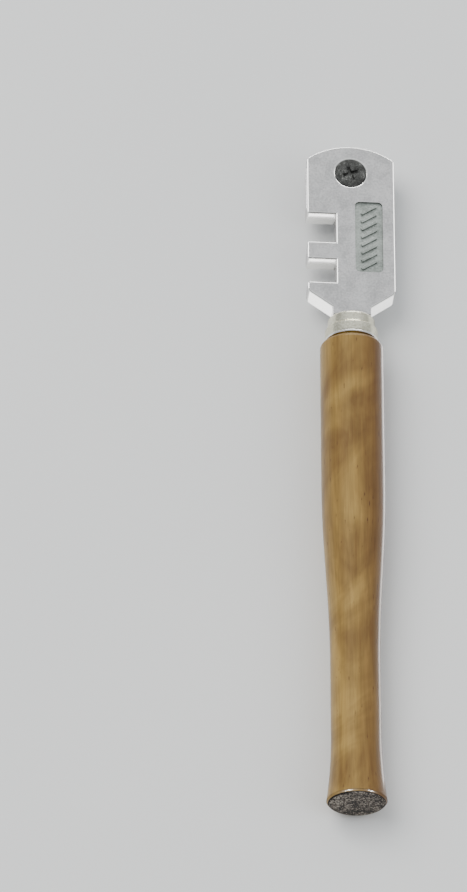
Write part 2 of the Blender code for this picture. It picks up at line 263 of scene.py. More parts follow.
glossSettings = {
    # only seen in reflections; the small cards lie on the floor under the head's walls
    # name: (place, aim, width, height, watts, what they fall on)
    "rearGloss": ((0.10, 0.95, 0.48), (0, 0.03, 0), 0.9, 0.22, 6.0, "all"),
    "footGlossLeft": ((-0.52, -0.56, 0.68), (0, -0.07, 0), 0.30, 0.40, 64.0, "handle"),
    "footGlossRight": ((0.72, -0.52, 0.60), (0, -0.07, 0), 0.24, 0.36, 42.0, "handle"),
    "rimStrip": ((0.0115, 0.006, 0.0003), (0.0115, 0.006, 1), 0.005, 0.135, 0.009, "handle"),
    "edgeGlossLeft": ((-0.80, 0.52, 0.37), (0, 0.05, 0), 0.5, 0.5, 5.0, "head"),
    "edgeGlossRight": ((0.83, 0.52, 0.28), (0, 0.05, 0), 0.5, 0.5, 5.0, "head"),
    "wingCardLeft": ((-0.009, 0.034, 0.0003), (-0.009, 0.034, 1), 0.009, 0.007, 0.0004, "head"),
    "wingCardRight": ((0.0088, 0.0345, 0.0003), (0.0088, 0.0345, 1), 0.0075, 0.008, 0.0003, "head"),
    "notchCardUpper": ((-0.0055, 0.0502, 0.0003), (-0.0055, 0.0502, 1), 0.007, 0.0006, 5e-5, "head"),
    "notchCardLower": ((-0.0055, 0.0401, 0.0003), (-0.0055, 0.0401, 1), 0.007, 0.0006, 5e-5, "head"),
}


def addAreaLamp(name, place, aim, width, height, watts):
    startFresh()
    bpy.ops.object.light_add(type="AREA", location=place)
    lamp = bpy.context.object
    lamp.name = name
    lamp.rotation_euler = (Vector(aim) - Vector(place)).to_track_quat("-Z", "Y").to_euler()
    lamp.data.shape = "RECTANGLE"
    lamp.data.size = width
    lamp.data.size_y = height
    lamp.data.energy = watts
    return lamp


def setGlosses(s, groups):
    for name, (place, aim, width, height, watts, group) in s.items():
        lamp = addAreaLamp(name, place, aim, width, height, watts)
        lamp.visible_camera = False
        lamp.visible_diffuse = False
        if group in groups:
            only = bpy.data.collections.new(name + "Falls")
            only.objects.link(groups[group])
            lamp.light_linking.receiver_collection = only


roomSettings = {
    "sky": (0.90, 0.93, 0.95),
    "strength": 0.62,
    "flag": (0.24, 0.25, 0.26),  # a grey flag low in front, that draws a line along the front edges
    "flagWay": (0.0, -0.90, 0.43),
    "flagEdge": (0.80, 0.93),  # where it starts and is full, as cosines of the angle from its middle
    "canopyWay": (0.05, 0.47, 0.88),  # the sky is brighter here, where the flat face looks
    "canopyEdge": (0.45, 1.0),
    "canopyLift": 0.66,
}


def setLights(s):
    for name, (place, aim, width, height, watts, colour) in s.items():
        lamp = addAreaLamp(name, place, aim, width, height, watts)
        lamp.data.color = colour
        lamp.visible_glossy = False


def towards(tree, way, middle, edge, low=0, high=1):
    # low outside the edge, rising to high where the way points at the middle
    cosine = addNode(tree, "ShaderNodeVectorMath", {0: way, 1: Vector(middle).normalized()},
                     operation="DOT_PRODUCT").outputs["Value"]
    return addNode(tree, "ShaderNodeMapRange",
                   {"Value": cosine, "From Min": edge[0], "From Max": edge[1],
                    "To Min": low, "To Max": high}).outputs["Result"]


def setRoom(s):
    world = bpy.data.worlds.new("paleRoom")
    bpy.context.scene.world = world
    world.use_nodes = True
    tree = world.node_tree
    room = tree.nodes["Background"]
    way = addNode(tree, "ShaderNodeTexCoord").outputs["Generated"]
    flag = towards(tree, way, s["flagWay"], s["flagEdge"])
    tree.links.new(mix(tree, "MIX", flag, s["sky"], s["flag"]), room.inputs["Color"])
    brightest = s["strength"] * (1 + s["canopyLift"])
    canopy = towards(tree, way, s["canopyWay"], s["canopyEdge"], s["strength"], brightest)
    tree.links.new(canopy, room.inputs["Strength"])


setCamera(viewSettings)
setLights(lightSettings)
setRoom(roomSettings)
print("camera and lights set")


# materials

def newMaterial(name):
    material = bpy.data.materials.new(name)
    material.use_nodes = True
    tree = material.node_tree
    shader = tree.nodes["Principled BSDF"]
    return material, tree, shader


def placed(tree, stretch=(1, 1, 1), place=(0, 0, 0), turn=(0, 0, 0)):
    # object coordinates about a place, with the pattern turned, then stretched along its own axes
    spot = addNode(tree, "ShaderNodeTexCoord").outputs["Object"]
    return addNode(tree, "ShaderNodeMapping",
                   {"Vector": spot, "Scale": stretch, "Location": place,
                    "Rotation": [radians(angle) for angle in turn]},
                   vector_type="TEXTURE").outputs["Vector"]


def noise(tree, vector, scale, detail, roughness, distortion=0):
    return addNode(tree, "ShaderNodeTexNoise",
                   {"Vector": vector, "Scale": scale, "Detail": detail, "Roughness": roughness,
                    "Distortion": distortion}).outputs["Fac"]


def ramp(tree, value, *stops):
    # stops are (position, grey or colour)
    node = addNode(tree, "ShaderNodeValToRGB", {"Fac": value})
    band = node.color_ramp
    while len(band.elements) < len(stops):
        band.elements.new(0.5)
    for element, (position, colour) in zip(band.elements, stops):
        element.position = position
        if not isinstance(colour, tuple):
            colour = (colour, colour, colour)
        element.color = (*colour, 1)
    return node.outputs["Color"]


def calc(tree, how, first, second, third=0.5, clamp=False):
    return addNode(tree, "ShaderNodeMath", {0: first, 1: second, 2: third},
                   operation=how, use_clamp=clamp).outputs[0]


def addBump(tree, shader, height, strength, distance):
    bump = addNode(tree, "ShaderNodeBump",
                   {"Height": height, "Strength": strength, "Distance": distance})
    tree.links.new(bump.outputs["Normal"], shader.inputs["Normal"])


def metalMaterial(name, light, dark, roughness, spread, marks, streaks):
    # plated or bare metal: cloudy tone, uneven gloss, fine tumbled marks
    material, tree, shader = newMaterial(name)
    place = placed(tree)
    cloud = noise(tree, place, 260, 5, 0.6, 0.4)
    speck = noise(tree, place, 2600, 3, 0.6)
    drawn = noise(tree, placed(tree, streaks), 900, 4, 0.6)
    tone = calc(tree, "MULTIPLY_ADD", cloud, 0.5, calc(tree, "MULTIPLY", speck, 0.5))
    colour = ramp(tree, tone, (0.40, dark), (0.58, light))
    tree.links.new(colour, shader.inputs["Base Color"])
    shader.inputs["Metallic"].default_value = 1
    gloss = calc(tree, "MULTIPLY_ADD", calc(tree, "ADD", cloud, drawn), spread, roughness - spread)
    tree.links.new(gloss, shader.inputs["Roughness"])
    fine = calc(tree, "MULTIPLY_ADD", drawn, 0.6, calc(tree, "MULTIPLY", speck, 0.4))
    addBump(tree, shader, fine, 0.25 * marks, 0.02 * mm)
    return material


metalSettings = {
    # name: (light, dark, roughness, its spread, depth of the marks, how far they are drawn out)
    "satinNickel": ((0.685, 0.672, 0.665), (0.495, 0.488, 0.485), 0.34, 0.10, 1.0, (1, 5, 1)),
    # partly handling polish, partly painted highlight: near-white metal for the head's edges and walls
    # and the ferrule's lip
    "polishAndHighlight": ((0.96, 0.95, 0.925), (0.88, 0.87, 0.84), 0.12, 0.04, 0.4, (1, 1, 1)),
    "castNickel": ((0.42, 0.45, 0.42), (0.245, 0.268, 0.245), 0.46, 0.12, 4.0, (1, 1, 1)),
    "ferruleNickel": ((0.88, 0.85, 0.69), (0.65, 0.62, 0.485), 0.25, 0.10, 0.7, (5, 1, 5)),
    "turretSteel": ((0.50, 0.49, 0.47), (0.38, 0.37, 0.36), 0.30, 0.10, 1.0, (4, 4, 1)),
    "wheelSteel": ((0.50, 0.50, 0.51), (0.40, 0.40, 0.41), 0.20, 0.06, 0.6, (5, 5, 1)),
    "pinSteel": ((0.62, 0.62, 0.62), (0.50, 0.50, 0.50), 0.25, 0.06, 0.5, (1, 1, 1)),
}
metals = {name: metalMaterial(name, *values) for name, values in metalSettings.items()}


def blackSteelMaterial():
    # blackened, worn through to bright metal in specks
    material, tree, shader = newMaterial("blackSteel")
    place = placed(tree)
    cloud = noise(tree, place, 700, 5, 0.65)
    speck = noise(tree, place, 4200, 3, 0.6)
    tone = calc(tree, "MULTIPLY_ADD", cloud, 0.5, calc(tree, "MULTIPLY", speck, 0.5))
    worn = ramp(tree, tone, (0.43, (0.032, 0.032, 0.030)), (0.55, (0.080, 0.081, 0.077)),
                (0.68, (0.30, 0.30, 0.285)))
    tree.links.new(worn, shader.inputs["Base Color"])
    shader.inputs["Metallic"].default_value = 0.75
    tree.links.new(calc(tree, "MULTIPLY_ADD", speck, 0.35, 0.28), shader.inputs["Roughness"])
    addBump(tree, shader, calc(tree, "ADD", cloud, speck), 0.5, 0.03 * mm)
    return material


blackSteel = blackSteelMaterial()

woodSettings = {
    "gold": (0.355, 0.222, 0.058),
    "honey": (0.248, 0.148, 0.037),
    "brown": (0.160, 0.086, 0.022),
    "shadeRed": (0.115, 0.040, 0.011),
    "pore": (0.09, 0.040, 0.014),
    "rightShade": (7 * mm, 0.06),  # painted shade: the wood darkens to red-brown towards its right side; how far to the right it grows full, and its share in the middle
    # soft patches in the figure, as (x, down from the arch's top, half width, half length,
    # turn, how much lighter)
    "patches": (
        (-0.8 * mm, 55 * mm, 2.6 * mm, 6.5 * mm, -48, 0.17),
        (-1.5 * mm, 65 * mm, 3.2 * mm, 7.0 * mm, -60, -0.13),
        (-0.4 * mm, 75 * mm, 2.4 * mm, 9.0 * mm, -6, 0.12),
        (-1.0 * mm, 100 * mm, 1.4 * mm, 7.0 * mm, -30, 0.12),
        (-2.5 * mm, 124 * mm, 3.0 * mm, 14.0 * mm, 4, 0.10),
    ),
    "patchHeight": 5 * mm,  # over the tool's axis
    "patchDepth": 8 * mm,
    "specular": 0.12,
    "coat": 0.44,
    "coatRoughness": 0.08,
    "coatIor": 1.38,
}


def woodMaterial(s):
    # varnished beech: grain along Y, cloudy figure lying aslant, short pores, and painted shade that
    # darkens the right side to red-brown
    material, tree, shader = newMaterial("varnishedWood")
    grain = placed(tree, (1, 9, 1))
    slant = placed(tree, (1, 2.2, 1), turn=(0, 0, -42))
    figure = noise(tree, slant, 95, 3, 0.55, 1.2)
    bands = noise(tree, grain, 420, 4, 0.6, 0.6)
    fibres = noise(tree, placed(tree, (1, 30, 1)), 2600, 3, 0.6)
    tone = calc(tree, "MULTIPLY_ADD", figure, 0.62, calc(tree, "MULTIPLY", bands, 0.38))
    for x, down, halfWidth, halfLength, turn, amount in s["patches"]:
        middle = (x, archTop - down, axisHeight + s["patchHeight"])
        about = placed(tree, (halfWidth, halfLength, s["patchDepth"]), middle, (0, 0, turn))
        patch = addNode(tree, "ShaderNodeTexGradient", {"Vector": about}, gradient_type="SPHERICAL")
        tone = calc(tree, "MULTIPLY_ADD", patch.outputs["Fac"], amount, tone)
    colour = ramp(tree, tone, (0.36, s["brown"]), (0.50, s["honey"]), (0.64, s["gold"]))
    split = addNode(tree, "ShaderNodeSeparateXYZ", {"Vector": placed(tree)})
    # painted shade: a red-brown darkening that grows towards the right side, patchy with the figure
    shadeWidth, shadeStart = s["rightShade"]
    rightShade = calc(tree, "MULTIPLY_ADD", split.outputs["X"], 1 / shadeWidth, shadeStart, clamp=True)
    rightShade = calc(tree, "MULTIPLY", rightShade, calc(tree, "MULTIPLY_ADD", figure, 0.9, 0.45, clamp=True))
    colour = mix(tree, "MIX", rightShade, colour, s["shadeRed"])
    fibreTone = ramp(tree, fibres, (0.35, 0.78), (0.65, 1.06))
    colour = mix(tree, "MULTIPLY", 0.75, colour, fibreTone)
    pores = addNode(tree, "ShaderNodeTexVoronoi",
                    {"Vector": placed(tree, (1, 6, 1)), "Scale": 1500,
                     "Randomness": 1}).outputs["Distance"]
    poreMask = ramp(tree, pores, (0.10, 1.0), (0.22, 0.0))
    some = ramp(tree, noise(tree, placed(tree), 900, 2, 0.5), (0.50, 0.0), (0.62, 0.75))
    # the painted shade on the right side also thickens the dark pores there
    poreMask = calc(tree, "MULTIPLY", poreMask, calc(tree, "ADD", some, rightShade, clamp=True))
    colour = mix(tree, "MIX", poreMask, colour, s["pore"])
    tree.links.new(colour, shader.inputs["Base Color"])
    tree.links.new(calc(tree, "MULTIPLY_ADD", bands, 0.2, 0.32), shader.inputs["Roughness"])
    shader.inputs["Specular IOR Level"].default_value = s["specular"]
    shader.inputs["Coat Weight"].default_value = s["coat"]
    shader.inputs["Coat Roughness"].default_value = s["coatRoughness"]
    shader.inputs["Coat IOR"].default_value = s["coatIor"]
    ripple = noise(tree, placed(tree, (1, 3, 1)), 380, 3, 0.5)
    height = calc(tree, "MULTIPLY_ADD", fibres, 0.18, calc(tree, "MULTIPLY", ripple, 0.9))
    height = calc(tree, "SUBTRACT", height, calc(tree, "MULTIPLY", poreMask, 0.3))
    addBump(tree, shader, height, 0.35, 0.05 * mm)
    return material


def endGrainMaterial():
    # sawn, stained end of the handle: growth rings, open pores, torn fibres
    material, tree, shader = newMaterial("endGrain")
    fromHeart = placed(tree, place=(4 * mm, 0, -9 * mm))  # the tree's heart lies below the handle
    across = placed(tree, (1, 50, 1))
    rings = addNode(tree, "ShaderNodeTexWave",
                    {"Vector": fromHeart, "Scale": 150, "Distortion": 3.5, "Detail": 3,
                     "Detail Scale": 1.6},
                    wave_type="RINGS", rings_direction="Y").outputs["Fac"]
    torn = noise(tree, across, 3300, 4, 0.7)
    blotch = noise(tree, across, 420, 3, 0.6)
    tone = calc(tree, "MULTIPLY_ADD", torn, 0.72, calc(tree, "MULTIPLY", rings, 0.03))
    tone = calc(tree, "MULTIPLY_ADD", blotch, 0.25, tone)
    colour = ramp(tree, tone, (0.45, (0.004, 0.003, 0.002)), (0.49, (0.034, 0.024, 0.018)),
                  (0.53, (0.115, 0.088, 0.068)), (0.58, (0.36, 0.32, 0.27)))
    tree.links.new(colour, shader.inputs["Base Color"])
    shader.inputs["Specular IOR Level"].default_value = 0.15
    tree.links.new(calc(tree, "MULTIPLY_ADD", torn, 0.3, 0.55), shader.inputs["Roughness"])
    addBump(tree, shader, tone, 0.9, 0.16 * mm)
    return material


def shadeLineMaterial(name, dark, light):
    # painted shade: near-black wood for the lines where shade falls, along the foot's edge and under the
    # ferrule
    material, tree, shader = newMaterial(name)
    cloud = noise(tree, placed(tree), 900, 4, 0.6)
    colour = ramp(tree, cloud, (0.35, dark), (0.65, light))
    tree.links.new(colour, shader.inputs["Base Color"])
    tree.links.new(calc(tree, "MULTIPLY_ADD", cloud, 0.2, 0.45), shader.inputs["Roughness"])
    shader.inputs["Specular IOR Level"].default_value = 0.06
    addBump(tree, shader, cloud, 0.3, 0.05 * mm)
    return material


varnishedWood = woodMaterial(woodSettings)
endGrain = endGrainMaterial()
# painted shade along the top of the foot's rounded edge
footShadeBand = shadeLineMaterial("footShadeBand", (0.004, 0.002, 0.001), (0.014, 0.008, 0.004))
# painted shade in the line just under the ferrule's lip
shoulderShadeLine = shadeLineMaterial("shoulderShadeLine", (0.022, 0.012, 0.004), (0.065, 0.036, 0.012))


def floorMaterial():
    material, tree, shader = newMaterial("palePaper")
    cloud = noise(tree, placed(tree), 6, 4, 0.5)
    fine = noise(tree, placed(tree), 900, 3, 0.6)
    colour = ramp(tree, cloud, (0.35, (0.80, 0.81, 0.81)), (0.65, (0.84, 0.845, 0.84)))
    tree.links.new(colour, shader.inputs["Base Color"])
    shader.inputs["Roughness"].default_value = 0.75
    addBump(tree, shader, fine, 0.15, 0.05 * mm)
    return material


def makeFloor(size):
    startFresh()
    bpy.ops.mesh.primitive_plane_add(size=size, location=(0, 0, 0))
    floor = nameIt("floor")
    setMaterials(floor, floorMaterial())


makeFloor(size=14)
print("materials and floor made")


# the head is one casting with notches, turret slot, screw hole, panel, neck and tang

head = {
    # places along the tool are measured down from the arch's top
    "rise": 2.9 * mm,  # of the arch
    "arcSteps": 48,  # facets along the arch
    "wingStart": 32.4 * mm,
    "plateEnd": 35.8 * mm,
    "neckEnd": 38.9 * mm,
    "halfNeck": 3.5 * mm,
    "neckStep": 0.2 * mm,  # the neck is this much thinner than the plate on each side
    "neckEdge": 0.15 * mm,
    "neckGap": 0.25 * mm,  # from the flush part of the neck to the ferrule
    "buried": 1.0 * mm,  # how far the neck starts inside the plate
    "tang": 2.0 * mm,  # radius
    "notches": ((15.2 * mm, 21.5 * mm), (25.3 * mm, 30.4 * mm)),
    "notchDepth": 5.6 * mm,
    "edge": 0.32 * mm,  # round of the plate's long edges
    "cornerRound": 0.7 * mm,  # where the wings start
    "archCornerRound": 0.34 * mm,
    "slotFloor": 12.8 * mm,
    "slotHalf": 1.1 * mm,
    "panelX": (0.7 * mm, 6.2 * mm),
    "panelY": (12.3 * mm, 28.0 * mm),
    "panelDepth": 0.3 * mm,
    "panelRound": 0.9 * mm,
    "panelTaper": (0.955, 0.985),  # size of the pocket's floor against its mouth
    "panelSkin": 0.02 * mm,  # what lies closer than this under the front face keeps its satin plate
    "ribs": 8,
    "ribSize": (0.66 * mm, 3.5 * mm),
    "ribSlant": 32,  # degrees
    "ribHeight": 0.28 * mm,
    "ribSunk": 0.02 * mm,  # below the pocket's floor, so that they join it
    "ribRound": (0.18 * mm, 0.09 * mm),  # of the upright corners and of the edges
    "screwPlay": 0.04 * mm,
    "mouth": (0.26 * mm, 0.156 * mm),  # width and depth of the chamfer round the screw hole
    "rearMouth": 0.2 * mm,  # chamfer where the screw's hole comes out behind
    # which faces get the near-white metal, partly handling polish and partly painted highlight, by the
    # share of their normal that points to the front or rear
    "wearAndHighlightEdge": (0.12, 0.985),  # between these
    "wearAndHighlightFrom": 1.8 * mm,  # and this far from the middle of the thickness, clear of the slot
    "wearAndHighlightWall": (0.2, 0.3),  # or below the first, with more than the second pointing down the tool
}

# the clamp screw that goes through it

clampScrew = {
    "shank": 1.6 * mm,  # radius
    "land": 0.2 * mm,  # upright edge of the head
    "seatWall": 0.18 * mm,  # metal between the countersink and the slot
    "edge": 0.06 * mm,
    "recess": (3.6 * mm, 0.8 * mm, 0.55 * mm),  # length, width and depth of each wing of the cross
    "recessOver": 0.2 * mm,  # its cutter stands this far above the head
    "recessTurn": 20,  # degrees
    "recessFloor": 0.62,  # size of its floor against its mouth
}


def plateBlank(s):
    # the arch is spun from one corner, then drawn down to the wings and in to the neck
    halfWidth = (headHigh.x - headLow.x) / 2
    radius = (halfWidth**2 + s["rise"]**2) / (2 * s["rise"])
    plate = oneVertex("headPlate", (-halfWidth, archTop - s["rise"], headLow.z))
    bpy.ops.mesh.spin(steps=s["arcSteps"], angle=2 * asin(halfWidth / radius), axis=(0, 0, 1),
                      center=(0, archTop - radius, headLow.z))
    bpy.ops.mesh.select_all(action="SELECT")
    wingY, plateEndY = archTop - s["wingStart"], archTop - s["plateEnd"]
    bpy.ops.mesh.extrude_region_move(TRANSFORM_OT_translate={"value": (0, wingY - archTop, 0)})
    bpy.ops.transform.resize(value=(1, 0, 1), center_override=(0, wingY, 0))
    bpy.ops.mesh.extrude_region_move(TRANSFORM_OT_translate={"value": (0, plateEndY - wingY, 0)})
    narrow = (s["halfNeck"] + s["neckStep"]) / halfWidth
    bpy.ops.transform.resize(value=(narrow, 1, 1), center_override=(0, 0, 0))
    bpy.ops.mesh.select_all(action="SELECT")
    thickness = headHigh.z - headLow.z
    bpy.ops.mesh.extrude_region_move(TRANSFORM_OT_translate={"value": (0, 0, thickness)})
    bpy.ops.mesh.select_all(action="SELECT")
    bpy.ops.mesh.normals_make_consistent(inside=False)
    bpy.ops.mesh.dissolve_limited(angle_limit=radians(0.2))  # keeps the arch's facets
    bpy.ops.object.mode_set(mode="OBJECT")
    return plate


def roundUprights(item, radius, test):
    # bevel the upright edges that pass the test, to round an outline's corners
    justThis(item)
    bpy.ops.object.mode_set(mode="EDIT")
    work = bmesh.from_edit_mesh(item.data)
    bpy.ops.mesh.select_all(action="DESELECT")
    bpy.ops.mesh.select_mode(type="EDGE")
    for edge in work.edges:
        start, end = edge.verts[0].co, edge.verts[1].co
        upright = (start.xy - end.xy).length < hair
        edge.select_set(upright and test(start))
    work.select_flush_mode()
    bmesh.update_edit_mesh(item.data)
    bpy.ops.mesh.bevel(offset=radius, segments=6, profile=0.5, affect="EDGES", clamp_overlap=False)
    bpy.ops.object.mode_set(mode="OBJECT")


def neckAndTang(s):
    # the neck starts inside the plate, and the round tang starts inside the neck
    halfThick = (headHigh.z - headLow.z) / 2 - s["neckStep"]
    neckTop, neckEnd = archTop - s["plateEnd"] + s["buried"], archTop - s["neckEnd"]
    neck = addBox("neck", (-s["halfNeck"], neckEnd, axisHeight - halfThick),
                  (s["halfNeck"], neckTop, axisHeight + halfThick))
    roundEdges(neck, s["neckEdge"])
    flushEnd = ferruleHigh.y + s["neckGap"]
    flush = addBox("flushNeck", (-s["halfNeck"] - s["neckStep"], flushEnd, headLow.z),
                   (s["halfNeck"] + s["neckStep"], neckTop, headHigh.z))
    roundEdges(flush, s["neckEdge"])
    carve(neck, flush, "UNION")
    startFresh()
    length = neckEnd + s["neckStep"] - headLow.y
    bpy.ops.mesh.primitive_cylinder_add(vertices=48, radius=s["tang"], depth=length,
                                        rotation=(radians(90), 0, 0),
                                        location=(0, headLow.y + length / 2, axisHeight))
    tang = settle(nameIt("tangBar"))
    roundEdges(tang, s["neckEdge"])
    carve(neck, tang, "UNION")
    return neck


def panelCutter(s):
    # the pocket's shape with the ribs left out, so that they stay standing in the pocket
    floorZ = headHigh.z - s["panelDepth"]
    left, right = s["panelX"]
    top, bottom = archTop - s["panelY"][0], archTop - s["panelY"][1]
    pocket = addBox("pocket", (left, bottom, floorZ), (right, top, headHigh.z + s["panelDepth"]))
    roundUprights(pocket, s["panelRound"], lambda co: True)
    justThis(pocket)
    bpy.ops.object.mode_set(mode="EDIT")
    pickFaces(pocket, lambda face: face.normal.z < -0.9)
    bpy.ops.transform.resize(value=(*s["panelTaper"], 1))
    bpy.ops.object.mode_set(mode="OBJECT")
    ribWidth, ribLength = s["ribSize"]
    cornerRound, edgeRound = s["ribRound"]
    ribTop = floorZ + s["ribHeight"]
    middle = (left + right) / 2
    pitch = (top - bottom) / (s["ribs"] + 1)
    for number in range(s["ribs"]):
        y = top - pitch * (number + 1)
        rib = addBox("rib", (-ribLength / 2, -ribWidth / 2, -s["ribHeight"] - s["ribSunk"]),
                     (ribLength / 2, ribWidth / 2, 0))
        roundUprights(rib, cornerRound, lambda co: True)
        roundEdges(rib, edgeRound, angle=60)
        rib.rotation_euler = (0, 0, radians(s["ribSlant"]))
        rib.location = (middle, y, ribTop)
        settle(rib)
        carve(pocket, rib)
    return pocket


def screwHoleProfile(s, screw):
    # (radius, height) down the outer side of the hole's cutter, with a bright chamfer at its mouth
    face, back = headHigh.z, headLow.z
    headRadius = (screwHigh.x - screwLow.x) / 2 + s["screwPlay"]
    shank = screw["shank"] + s["screwPlay"]
    seat = axisHeight + s["slotHalf"] + screw["seatWall"] - s["screwPlay"]
    land = screwHigh.z - screw["land"] - s["screwPlay"]
    mouth, mouthDepth = s["mouth"]
    rearMouth = s["rearMouth"]
    return [(0, face + overcut), (headRadius + mouth + overcut, face + overcut),
            (headRadius + mouth, face), (headRadius, face - mouthDepth),
            (headRadius, land), (shank, seat),
            (shank, back + rearMouth), (shank + rearMouth, back),
            (shank + rearMouth, back - overcut), (0, back - overcut)]


def wearAndHighlightOf(face, s):
    # 0 satin plate, 1 rough casting in the panel, 2 edges and working walls in near-white metal: partly
    # handling polish, partly painted highlight
    spot = face.center
    down = archTop - spot.y
    left, right = s["panelX"]
    if left < spot.x < right and s["panelY"][0] < down < s["panelY"][1]:
        if headHigh.z - s["panelDepth"] - near < spot.z < headHigh.z - s["panelSkin"]:
            return 1
    level = abs(face.normal.z)
    edge = s["wearAndHighlightEdge"][0] < level < s["wearAndHighlightEdge"][1] and abs(spot.z - axisHeight) > s["wearAndHighlightFrom"]
    wall = level < s["wearAndHighlightWall"][0] and face.normal.y < -s["wearAndHighlightWall"][1]
    return 2 if down < s["plateEnd"] and (edge or wall) else 0


def makeHead(s):
    plate = plateBlank(s)
    wingY, archSide = archTop - s["wingStart"], archTop - s["rise"]
    roundUprights(plate, s["cornerRound"], lambda co: abs(co.y - wingY) < near)
    roundUprights(plate, s["archCornerRound"], lambda co: abs(co.y - archSide) < near)
    left, right = headLow.x - overcut, headHigh.x + overcut
    for start, end in s["notches"]:
        notch = addBox("notch", (left, archTop - end, headLow.z - overcut),
                       (headLow.x + s["notchDepth"], archTop - start, headHigh.z + overcut))
        carve(plate, notch)
    slot = addBox("slot", (left, archTop - s["slotFloor"], axisHeight - s["slotHalf"]),
                  (right, archTop + overcut, axisHeight + s["slotHalf"]))
    carve(plate, slot)
    roundEdges(plate, s["edge"], segments=4)
    carve(plate, neckAndTang(s), "UNION")
    carve(plate, lathe("screwHole", screwHoleProfile(s, clampScrew), (0, turretMiddle.y, 0), steps=96))
    carve(plate, panelCutter(s))
    plate.name = "headCasting"
    setMaterials(plate, metals["satinNickel"], metals["castNickel"], metals["polishAndHighlight"])
    for face in plate.data.polygons:
        face.material_index = wearAndHighlightOf(face, s)
    smoothByAngle(plate, 40)
    evenShading(plate)
    return plate


headCasting = makeHead(head)
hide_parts("head_body")
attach(headCasting, "tool_body")
print("head made", len(headCasting.data.polygons), "faces")


# the clamp screw: blackened, countersunk, with a cross recess

def recessWing(s, turn):
    # one wing of the cross, narrower at its floor
    length, width, depth = s["recess"]
    wing = addBox("recessWing", (-length / 2, -width / 2, -depth),
                  (length / 2, width / 2, s["recessOver"]))
    bpy.ops.object.mode_set(mode="EDIT")
    pickFaces(wing, lambda face: face.normal.z < -0.9)
    bpy.ops.transform.resize(value=(s["recessFloor"], s["recessFloor"], 1))
    bpy.ops.object.mode_set(mode="OBJECT")
    wing.rotation_euler = (0, 0, radians(turn))
    wing.location = (0, turretMiddle.y, screwHigh.z)
    return settle(wing)


def makeScrew(s):
    headRadius = (screwHigh.x - screwLow.x) / 2
    top, end = screwHigh.z, screwLow.z
    seat = axisHeight + head["slotHalf"] + s["seatWall"]
    profile = [(0, top), (headRadius, top), (headRadius, top - s["land"]), (s["shank"], seat),
               (s["shank"], end + s["land"]), (s["shank"] - s["land"], end), (0, end)]
    screw = lathe("clampScrewBlack", profile, (0, turretMiddle.y, 0), steps=96)
    for turn in (s["recessTurn"], s["recessTurn"] + 90):
        carve(screw, recessWing(s, turn))
    roundEdges(screw, s["edge"], angle=35)
    setMaterials(screw, blackSteel)
    smoothByAngle(screw, 40)
    evenShading(screw)
    return screw


screwPiece = makeScrew(clampScrew)
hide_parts("clamp_screw")
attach(screwPiece, "clamp_screw")
print("clamp screw made")


# the turret, with its six wheels on their pins

turretSettings = {
    "bore": 1.68 * mm,  # the bore, flange and hub are radii
    "flange": 5.5 * mm,
    "hub": 2.3 * mm,
    "grooveHalf": 0.475 * mm,
    "edge": 0.07 * mm,
    "pinHole": 0.52 * mm,
    "wheels": 6,
    "pitch": 4.5 * mm,  # radius of the circle that the pins stand on
}

wheelSettings = {
    "radius": 2.0 * mm,
    "half": 0.4 * mm,
    "bore": 0.55 * mm,
    "edgeAngle": 135,  # degrees, across the cutting edge
    "edge": 0.04 * mm,
    "dish": 0.08 * mm,  # depth of the turned recess in each side
    "dishRim": 0.3 * mm,  # flat ring left round the outside of the recess
    "dishHub": 0.35 * mm,  # and round the bore
}

pinSettings = {
    "radius": 0.5 * mm,
    "half": 0.95 * mm,
    "edge": 0.1 * mm,
}


def wheelPlace(number):
    # the first wheel stands at the top, the rest follow clockwise
    angle = radians(90 - 360 / turretSettings["wheels"] * number)
    return turretMiddle + turretSettings["pitch"] * Vector((cos(angle), sin(angle), 0))


def makeTurret(s):
    thickness = turretHigh.z - turretLow.z
    half, groove = thickness / 2, s["grooveHalf"]
    profile = [(s["bore"], half), (s["flange"], half), (s["flange"], groove), (s["hub"], groove),
               (s["hub"], -groove), (s["flange"], -groove), (s["flange"], -half), (s["bore"], -half)]
    spool = lathe("turretSpool", profile, turretMiddle, steps=120, closed=True)
    for number in range(s["wheels"]):
        startFresh()
        bpy.ops.mesh.primitive_cylinder_add(vertices=32, radius=s["pinHole"], depth=2 * thickness,
                                            location=wheelPlace(number))
        carve(spool, settle(nameIt("pinHole")))
    roundEdges(spool, s["edge"], angle=35)
    setMaterials(spool, metals["turretSteel"])
    smoothByAngle(spool, 40)
    evenShading(spool)
    return spool


def makeWheel(s):
    # a small disc with a ground V edge and a shallow dish turned in each side
    slope = radians(s["edgeAngle"] / 2)
    rim = s["radius"] - s["half"] / tan(slope)
    dishOut, dishIn = rim - s["dishRim"], s["bore"] + s["dishHub"]
    side = [(s["bore"], s["half"]), (dishIn, s["half"]), (dishIn + s["dish"], s["half"] - s["dish"]),
            (dishOut - s["dish"], s["half"] - s["dish"]), (dishOut, s["half"]), (rim, s["half"])]
    profile = side + [(s["radius"], 0)] + [(radius, -height) for radius, height in reversed(side)]
    wheel = lathe("cuttingWheel", profile, wheelPlace(0), steps=96, closed=True)
    roundEdges(wheel, s["edge"], segments=2, angle=55)
    setMaterials(wheel, metals["wheelSteel"])
    smoothByAngle(wheel, 20)
    return wheel


def makePin(s):
    radius, half, edge = s["radius"], s["half"], s["edge"]
    profile = [(0, half), (radius - edge, half), (radius, half - edge),
               (radius, edge - half), (radius - edge, -half), (0, -half)]
    pin = lathe("wheelPin", profile, wheelPlace(0), steps=48)
    setMaterials(pin, metals["pinSteel"])
    smoothByAngle(pin, 50)
    return pin


